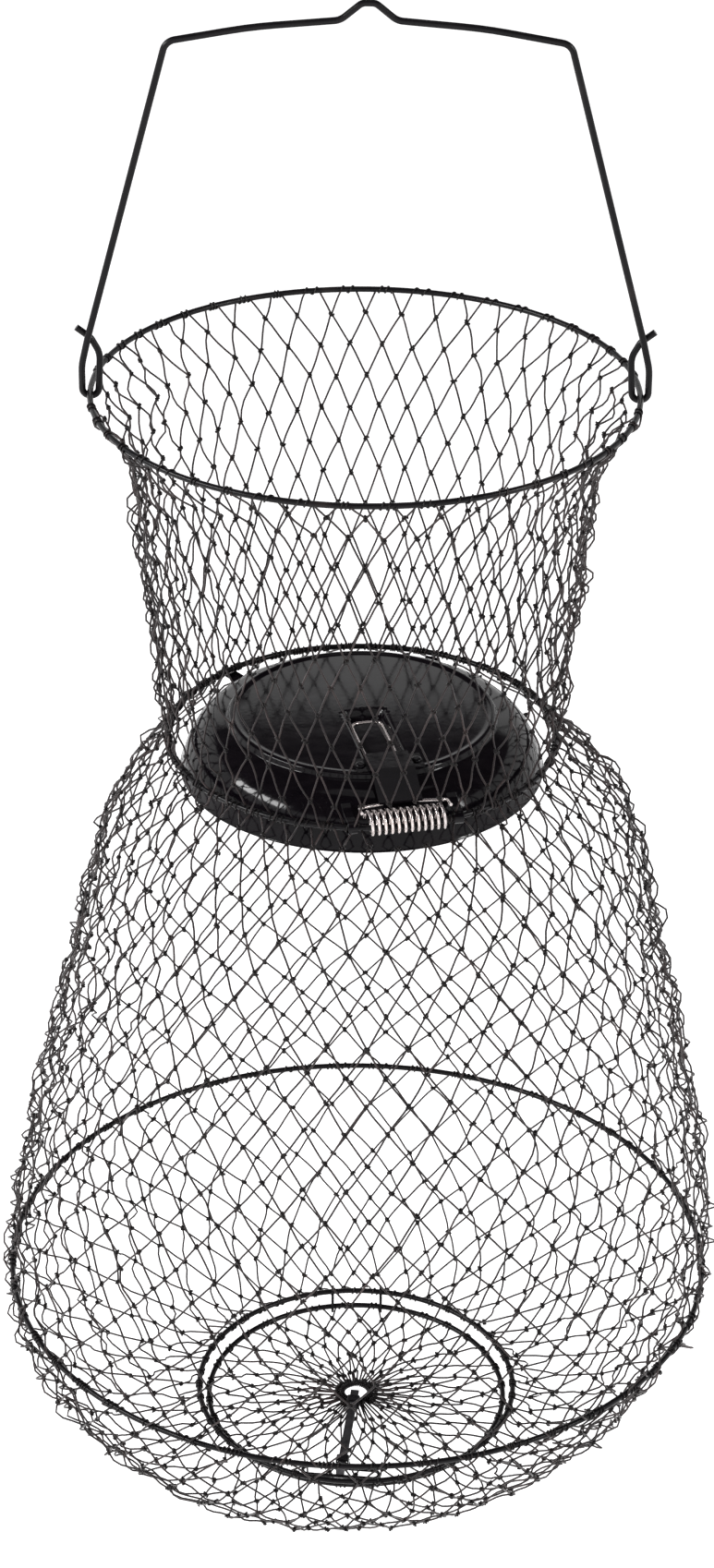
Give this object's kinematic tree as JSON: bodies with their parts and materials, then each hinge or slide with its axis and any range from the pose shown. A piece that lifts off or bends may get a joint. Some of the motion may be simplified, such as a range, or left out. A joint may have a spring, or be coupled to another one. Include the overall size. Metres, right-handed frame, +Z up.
{
  "type": "folding crab trap",
  "caption": "Collapsible wire-net basket trap hung by a bail: flared mouth, sprung lid in the waist, deep net body round a hoop, and a latched drop door in its bottom.",
  "frame": {"origin": "middle of the bail wire's lower side at its peak, where a hook or rope carries the trap", "axes": "+Z up along the hanging trap, +X along the bail, -Y the front, where the lid's hinge is"},
  "size_m": [0.3858, 0.3858, 0.8158],
  "materials": {
    "black_wire": "gloss black enamel on round steel wire",
    "net_turns": "black-coated thin net wire, satin",
    "net_wire": "dark coated thin wire netting, satin grey-black",
    "lid_enamel": "gloss black enamel on pressed steel sheet",
    "spring_steel": "bright drawn spring wire, slightly warm",
    "rivet_steel": "black-enamelled rivet heads",
    "latch_steel": "dark galvanised flat bar, darker at its edges"
  },
  "bodies": {
    "bail": {"bail": "black_wire"},
    "top_ring": {"top_ring": "black_wire", "top_wraps": "net_turns", "upper_net": "net_wire"},
    "waist_ring": {"waist_ring": "black_wire", "waist_wraps": "net_turns", "lower_net": "net_wire", "lid_spring": "spring_steel"},
    "lid": {"lid_shell": "lid_enamel", "spring_arms": "spring_steel", "spring_strap": "lid_enamel", "strap_rivets": "rivet_steel"},
    "hoop": {"hoop": "black_wire", "hoop_wraps": "net_turns", "bottom_net": "net_wire"},
    "bottom_frame": {"frame_ring": "black_wire", "frame_wraps": "net_turns", "door_hinge_links": "black_wire"},
    "bottom_door": {"door_ring": "black_wire", "door_wraps": "net_turns", "door_net": "net_wire", "door_eyelet": "net_turns", "latch_guides": "black_wire"},
    "latch": {"latch_bar": "latch_steel", "latch_loop": "black_wire"}
  },
  "joints": [
    {"name": "bail_swing", "type": "hinge", "parent": "bail", "child": "top_ring", "pos_m": [0, 0, -0.1992], "axis": [1, 0, 0], "range_deg": [-62, 62]},
    {"name": "upper_collapse", "type": "slide", "parent": "top_ring", "child": "waist_ring", "axis": [0, 0, 1], "range_m": [0, 0.165], "deforming": ["upper_net"]},
    {"name": "lid_hinge", "type": "hinge", "parent": "waist_ring", "child": "lid", "pos_m": [0.02166, -0.09382, -0.3868], "axis": [0.9744, 0.225, 0], "range_deg": [-80, 0], "stiffness_Nm_per_rad": 0.25, "springref_deg": 74.48},
    {"name": "lower_collapse", "type": "slide", "parent": "waist_ring", "child": "hoop", "axis": [0, 0, 1], "range_m": [0, 0.295], "deforming": ["lower_net"]},
    {"name": "bottom_collapse", "type": "slide", "parent": "hoop", "child": "bottom_frame", "axis": [0, 0, 1], "range_m": [0, 0.06], "deforming": ["bottom_net"]},
    {"name": "door_hinge", "type": "hinge", "parent": "bottom_frame", "child": "bottom_door", "pos_m": [0, 0.08181, -0.8088], "axis": [1, 0, 0], "range_deg": [0, 100]},
    {"name": "latch_slide", "type": "slide", "parent": "bottom_door", "child": "latch", "axis": [0.1045, 0.9945, 0], "range_m": [-0.006, 0]}
  ]
}
